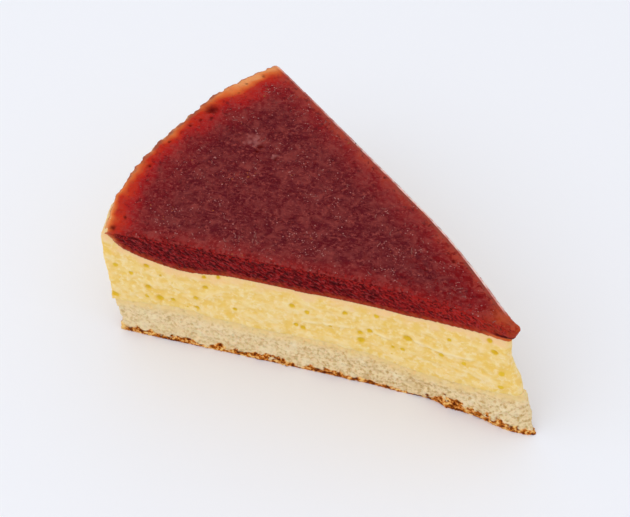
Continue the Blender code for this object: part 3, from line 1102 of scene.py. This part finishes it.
class CAKE_OT_jelly(bpy.types.Operator):
    """Make the berry jelly"""

    bl_idname = "cake.jelly"
    bl_label = "Berry Jelly"

    def execute(self, context):
        settings = context.scene.cake.jelly
        thing, points, normals, lie, on_side = grow_skin("berry_jelly", "jelly", settings.skin, (-UP,))
        from_cream = distances(points, "vanilla_cream")
        from_near, from_far, from_wall, from_top = (
            distances(points, "berry_jelly", way) for way in (NEAR_CUT, FAR_CUT, WALL, UP)
        )
        top_face = np.maximum(smooth_step((normals[:, 2] - 0.35) / 0.4), fades(from_wall, 0.0016))
        on_cut = on_side * (np.minimum(from_near, from_far) < from_wall)

        points[:, 2] -= JELLY_BRIDGE * fades(from_cream - LAYER_GAP, BRIDGE_REACH)
        rolled = 0.8 * fades(from_far, 0.0011) ** 2 + fades(from_near, 0.0006) ** 2
        points[:, 2] -= EDGE_ROLL * rolled * fades(from_top, 0.0012)
        crumbling = fades(from_near, 0.0009) * fades(from_top, 0.0009)
        points[:, 2] -= crumbling * EDGE_CRUMBLE * (0.5 + noise_at(lie, 0.0009, 14.0))
        reach = np.interp(points[:, 1], RIM_PLACES, RIM_REACHES)
        drawn_out = (reach + ragged_edge(lie)) * fades(from_wall, RIM_STRETCH) ** 1.5
        points -= inwards_of(points) * drawn_out[:, None]
        nose = fades(points[:, 0].max() - points[:, 0] - 0.0018, 0.0030)
        points[:, 0] -= np.interp(from_cream, NOSE_HEIGHTS, NOSE_RECESSES) * nose
        strands = tilted(lie, FIBRE_TILT)
        fibre = noise_at(strands, 0.0007, 5.0, (3.0, 1.0, 1.0))
        fibre += 0.5 * noise_at(strands, 0.0004, 9.0, (2.4, 1.0, 1.0))
        relief = on_cut * CUT_RELIEF * fibre
        relief += top_face * TOP_RELIEF * noise_at(points, 0.005, 4.0)
        points += normals * relief[:, None]
        set_points(thing.data, points)
        set_attributes(
            thing.data,
            lie=lie,
            rim=self.rim_place(points, lie, from_wall),
            # The rim's outline: painted shade along its edge.
            outline=smooth_step(1.4 - from_wall / np.interp(points[:, 1], RIM_PLACES, RIM_OUTLINES)),
            top_face=top_face,
            fibre=fibre,
            from_near=from_near,
            from_far=from_far,
            from_top=from_top,
            from_cream=from_cream,
            from_tip=TIP_X - points[:, 0],
            # lump: painted highlights where light catches lumps in the top.
            lump=self.lumps(points) * top_face,
            open_face=np.zeros(len(points)),
            bit_share=top_face * self.clusters(points) * smooth_step(from_wall / 0.004 - 1),
        )
        top = BVHTree.FromPolygons(points, [face.vertices[:] for face in thing.data.polygons])
        bruises = make_marks("bruises", TOP_BRUISES, lambda x, y: top.ray_cast(Vector((x, y, 1.0)), -UP)[0])
        sink_pits(thing, TOP_PITS, jelly_material(settings), bruises)
        finish_piece(thing, "jelly", "berry_jelly")
        return {"FINISHED"}

    def rim_place(self, points, lie, from_wall):
        """The distance from the wall that gives a point its colour, uneven as the rim is."""
        uneven = 0.0024 * noise_at(lie, 0.0075, 22.0) + 0.0011 * noise_at(lie, 0.0028, 27.0)
        narrowed = np.interp(points[:, 1], RIM_PLACES, RIM_NARROWED)
        return from_wall + (uneven + narrowed) * smooth_step(from_wall / 0.0016)

    def clusters(self, points):
        """Where the specks crowd."""
        wide = smooth_step(noise_at(points, 0.011, 8.0) * 2.4 + 0.6)
        return wide * smooth_step(noise_at(points, 0.0034, 18.0) * 2.6 + 0.5)

    # Painted highlights where light catches lumps in the top: how much each point has.
    def lumps(self, points):
        near = np.zeros(len(points))
        for x, y, radius in LUMP_HIGHLIGHTS:
            away = np.hypot(points[:, 0] - x, points[:, 1] - y)
            near = np.maximum(near, fades(away + radius * noise_at(points, 0.0012, 3.0), radius))
        return near


class CAKE_OT_specks(bpy.types.Operator):
    """Make the tiny bubbles and the bits of pulp in the top of the jelly"""

    bl_idname = "cake.specks"
    bl_label = "Specks"

    def execute(self, context):
        settings = context.scene.cake.jelly
        jelly = bpy.data.objects["jelly"]
        bead, strand = make_lump("bead"), make_lump("strand")
        self.bend(strand)
        kinds = (
            # The bubbles' pale colour is partly a painted glint.
            ("bubbles", BUBBLES, bead, settings.speck),
            ("pulp_bits", PULP_BITS, bead, settings.seed),
            ("pulp_strands", PULP_STRANDS, strand, settings.strand),
        )
        for name, bits, shape, colour in kinds:
            thing = scatter_bits(name, bits, jelly, shape, speck_material(name, colour))
            finish_piece(thing, "jelly")
        remove_object(bead)
        remove_object(strand)
        return {"FINISHED"}

    def bend(self, strand):
        """Stretches a small round shape into a curved strand."""
        points = points_of(strand.data)
        points *= (STRAND_LENGTH, STRAND_WIDTH, STRAND_WIDTH)
        points[:, 1] += STRAND_CURVE * points[:, 0] ** 2
        set_points(strand.data, points)


class CAKE_OT_cream(bpy.types.Operator):
    """Make the vanilla cream"""

    bl_idname = "cake.cream"
    bl_label = "Vanilla Cream"

    def execute(self, context):
        settings = context.scene.cake.cream
        thing, points, normals, lie, on_side = grow_skin("vanilla_cream", "cream", settings.skin, (UP, -UP))
        from_jelly = distances(points, "berry_jelly")
        from_sponge = distances(points, "sponge_base")
        from_near = distances(points, "vanilla_cream", NEAR_CUT)
        from_wall = distances(points, "vanilla_cream", WALL)
        on_near = on_side * fades(from_near, 0.0008)

        to_jelly = fades(from_jelly - LAYER_GAP, BRIDGE_REACH)
        to_sponge = fades(from_sponge - LAYER_GAP, BRIDGE_REACH)
        hem = HEM_RELIEF * noise_at(lie, 0.0045, 6.0, (2.0, 1.0, 1.0))
        near_lip = fades(from_jelly, RAGGED_REACH) * fades(from_wall, RAGGED_REACH)
        points[:, 2] += BRIDGE * to_jelly - (BRIDGE + hem) * to_sponge - RIM_SINK * near_lip
        ridge, groove = self.smears(points)
        waves = noise_at(lie, 0.0032, 3.0, (1.7, 1.0, 1.0))
        tears = noise_at(lie, 0.0014, 7.0, (1.3, 1.0, 1.0))
        relief = on_side * (WAVE_RELIEF * waves + TEAR_RELIEF * tears) * (1 - 0.7 * to_jelly)
        relief += on_near * (RIDGE_RELIEF * ridge - GROOVE_RELIEF * groove) - on_side * TUCK * to_jelly
        points += normals * relief[:, None]
        points -= inwards_of(points) * (ragged_edge(lie) * near_lip)[:, None]
        set_points(thing.data, points)
        clusters = smooth_step(noise_at(lie, 0.012, 1.0) * 2.0 + 0.6)
        set_attributes(
            thing.data,
            lie=lie,
            from_jelly=from_jelly,
            lip=near_lip * smooth_step(normals[:, 2] * 1.6) * (1 - 0.8 * fades(from_near, 0.014)),
            # The materials paint shade in its hollows and a highlight on its ridges.
            relief=0.5 + 0.6 * waves + 0.6 * tears,
            smear=on_near * ridge * 0.9,
            open_face=on_side * clusters * (1 - 0.75 * on_near) * smooth_step(from_jelly / 0.003 - 0.5),
        )
        cut = search_tree("vanilla_cream", NEAR_CUT)
        into = Vector((0.0, 1.0, 0.0))
        holes = make_marks("holes", NEAR_HOLES, lambda x, z: cut.ray_cast(Vector((x, -1.0, z)), into)[0])
        sizes = (settings.hole_density, settings.smallest_hole, settings.largest_hole)
        sink_pits(thing, AIR_HOLES, cream_material(settings), holes, *sizes)
        finish_piece(thing, "cream", "vanilla_cream")
        return {"FINISHED"}

    def smears(self, points):
        """The ridge above each smear on the near cut, and the groove below it."""
        ridge = np.zeros(len(points))
        groove = np.zeros(len(points))
        ragged = 0.0007 * noise_at(points, 0.0022, 5.0)
        for smear in NEAR_SMEARS:
            places, heights = zip(*smear)
            above = points[:, 2] - np.interp(points[:, 0], places, heights) + ragged
            ends = smooth_step((points[:, 0] - places[0]) / SMEAR_FADE)
            ends *= smooth_step((places[-1] - points[:, 0]) / SMEAR_FADE)
            ridge += ends * hill(above, SMEAR_RIDGE, SMEAR_RIDGE)
            groove += ends * hill(above, -SMEAR_RIDGE, SMEAR_RIDGE)
        broken = smooth_step(0.9 + 1.6 * noise_at(points, 0.0030, 15.0))
        return ridge * broken, groove * broken


class CAKE_OT_sponge(bpy.types.Operator):
    """Make the sponge base"""

    bl_idname = "cake.sponge"
    bl_label = "Sponge Base"

    def execute(self, context):
        settings = context.scene.cake.sponge
        thing, points, normals, lie, on_side = grow_skin("sponge_base", "sponge", settings.skin, (UP, -UP))
        from_cream = distances(points, "vanilla_cream")
        height = points[:, 2].copy()

        to_cream = fades(from_cream - LAYER_GAP, BRIDGE_REACH)
        points[:, 2] += BRIDGE * to_cream
        crumb = COARSE_CRUMB * noise_at(points, 0.0026, 3.0) + FINE_CRUMB * noise_at(points, 0.0010, 7.0)
        relief = crumb * on_side - TUCK * to_cream * on_side
        points += normals * relief[:, None]
        corner = self.near_corner(points)
        points -= inwards_of(points) * (CORNER_BULGE * corner)[:, None]
        points[:, 2] = np.maximum(points[:, 2], 0.0)
        set_points(thing.data, points)
        crust = fades(height - self.crust_height(points), 0.0007)
        set_attributes(
            thing.data,
            lie=lie,
            from_cream=from_cream,
            crust=crust,
            corner=0.8 * corner,
            open_face=on_side * (1 - 0.6 * crust),
            bit_share=on_side * crust * smooth_step(noise_at(points, 0.004, 21.0) * 2.0 + 0.7),
        )
        sizes = (settings.pore_density, settings.smallest_pore, settings.largest_pore)
        sink_pits(thing, PORES, sponge_material(settings), None, *sizes)
        finish_piece(thing, "sponge", "sponge_base")
        self.add_crumbs(thing, settings)
        return {"FINISHED"}

    def near_corner(self, points):
        """How much each point belongs to the pale lump of crust at the foot of the near corner."""
        low = points[points[:, 2] < 0.004]
        middle = low[np.argmin(low[:, 1])]
        middle[2] = 0.0018
        away = np.linalg.norm((points - middle) / (1.0, 1.0, 1.4), axis=1)
        return smooth_step(2 * fades(away, 0.0022))

    def crust_height(self, points):
        """The height up to which the foot is browned."""
        thickness = np.full(len(points), CRUST_THICKNESS)
        for place, extra, half_length in CRUST_SWELLS:
            thickness += extra * hill(TIP_X - points[:, 0], place, half_length)
        flakes = noise_at(points, 0.0034, 12.0) + 0.6 * noise_at(points, 0.0013, 17.0)
        return thickness * (1 + 1.3 * flakes)

    def add_crumbs(self, sponge, settings):
        crumb = make_lump("crumb shape", 0.9)
        thing = scatter_bits("crust_crumbs", CRUMBS, sponge, crumb, crust_material(settings))
        points = points_of(thing.data)
        points[:, 2] = np.maximum(points[:, 2], 0.0)
        set_points(thing.data, points)
        finish_piece(thing, "sponge")
        remove_object(crumb)


class CAKE_OT_stage(bpy.types.Operator):
    """Make the floor, the lights and the camera"""

    bl_idname = "cake.stage"
    bl_label = "Stage"

    def execute(self, context):
        settings = context.scene.cake.stage
        self.add_floor(settings)
        self.add_lights(context)
        self.add_camera(context, settings)
        context.scene.view_settings.view_transform = "Standard"
        return {"FINISHED"}

    def add_floor(self, settings):
        plane = bmesh.new()
        bmesh.ops.create_grid(plane, x_segments=1, y_segments=1, size=2.0)
        floor = object_of("floor", plane)
        values = {"Base Color": (*settings.floor, 1.0), "Roughness": 0.6, "Specular IOR Level": 0.2}
        material, _ = new_material("floor", values)
        floor.data.materials.append(material)

    def add_lights(self, context):
        world = bpy.data.worlds.new("studio")
        context.scene.world = world
        world.use_nodes = True
        background = world.node_tree.nodes["Background"]
        background.inputs["Color"].default_value = (*SKY_COLOUR, 1.0)
        background.inputs["Strength"].default_value = SKY_STRENGTH
        world.cycles_visibility.glossy = False
        data = bpy.data.lights.new("key", "AREA")
        data.shape = "DISK"
        data.size = KEY_SIZE
        data.energy = KEY_POWER
        light = new_object("key", data)
        light.location = KEY_PLACE
        light.rotation_euler = KEY_PLACE.to_track_quat("Z", "Y").to_euler()

    def add_camera(self, context, settings):
        azimuth, elevation = settings.azimuth, settings.elevation
        level = math.cos(elevation)
        back = Vector((math.sin(azimuth) * level, -math.cos(azimuth) * level, math.sin(elevation)))
        right = (-back).cross(UP).normalized()
        upwards = right.cross(-back)
        cosine, sine = math.cos(settings.roll), math.sin(settings.roll)
        turned_right = right * cosine + upwards * sine
        turned_up = upwards * cosine - right * sine
        turn = Matrix((turned_right, turned_up, back)).transposed().to_4x4()
        data = bpy.data.cameras.new("camera")
        data.lens = settings.lens
        data.sensor_width = 36.0
        data.clip_start, data.clip_end = 0.01, 10.0
        camera = new_object("camera", data)
        camera.matrix_world = Matrix.Translation(LOOKED_AT + back * settings.distance) @ turn
        context.scene.camera = camera


class CAKE_PT_panel(bpy.types.Panel):
    """Lists the pieces of the slice"""

    bl_label = "Cake Slice"
    bl_idname = "CAKE_PT_panel"
    bl_space_type = "VIEW_3D"
    bl_region_type = "UI"
    bl_category = "Cake"

    def draw(self, context):
        for operator in PIECES:
            self.layout.operator(operator.bl_idname)


PIECES = (CAKE_OT_sponge, CAKE_OT_cream, CAKE_OT_jelly, CAKE_OT_specks, CAKE_OT_stage)
CLASSES = (
    CakeJellySettings,
    CakeCreamSettings,
    CakeSpongeSettings,
    CakeStageSettings,
    CakeSettings,
    *PIECES,
    CAKE_PT_panel,
)


def register():
    for each in CLASSES:
        bpy.utils.register_class(each)
    bpy.types.Scene.cake = PointerProperty(type=CakeSettings)


def unregister():
    del bpy.types.Scene.cake
    for each in reversed(CLASSES):
        bpy.utils.unregister_class(each)


def main():
    register()
    bpy.ops.cake.sponge()
    bpy.ops.cake.cream()
    bpy.ops.cake.jelly()
    bpy.ops.cake.specks()
    bpy.ops.cake.stage()


if __name__ == "__main__":
    main()
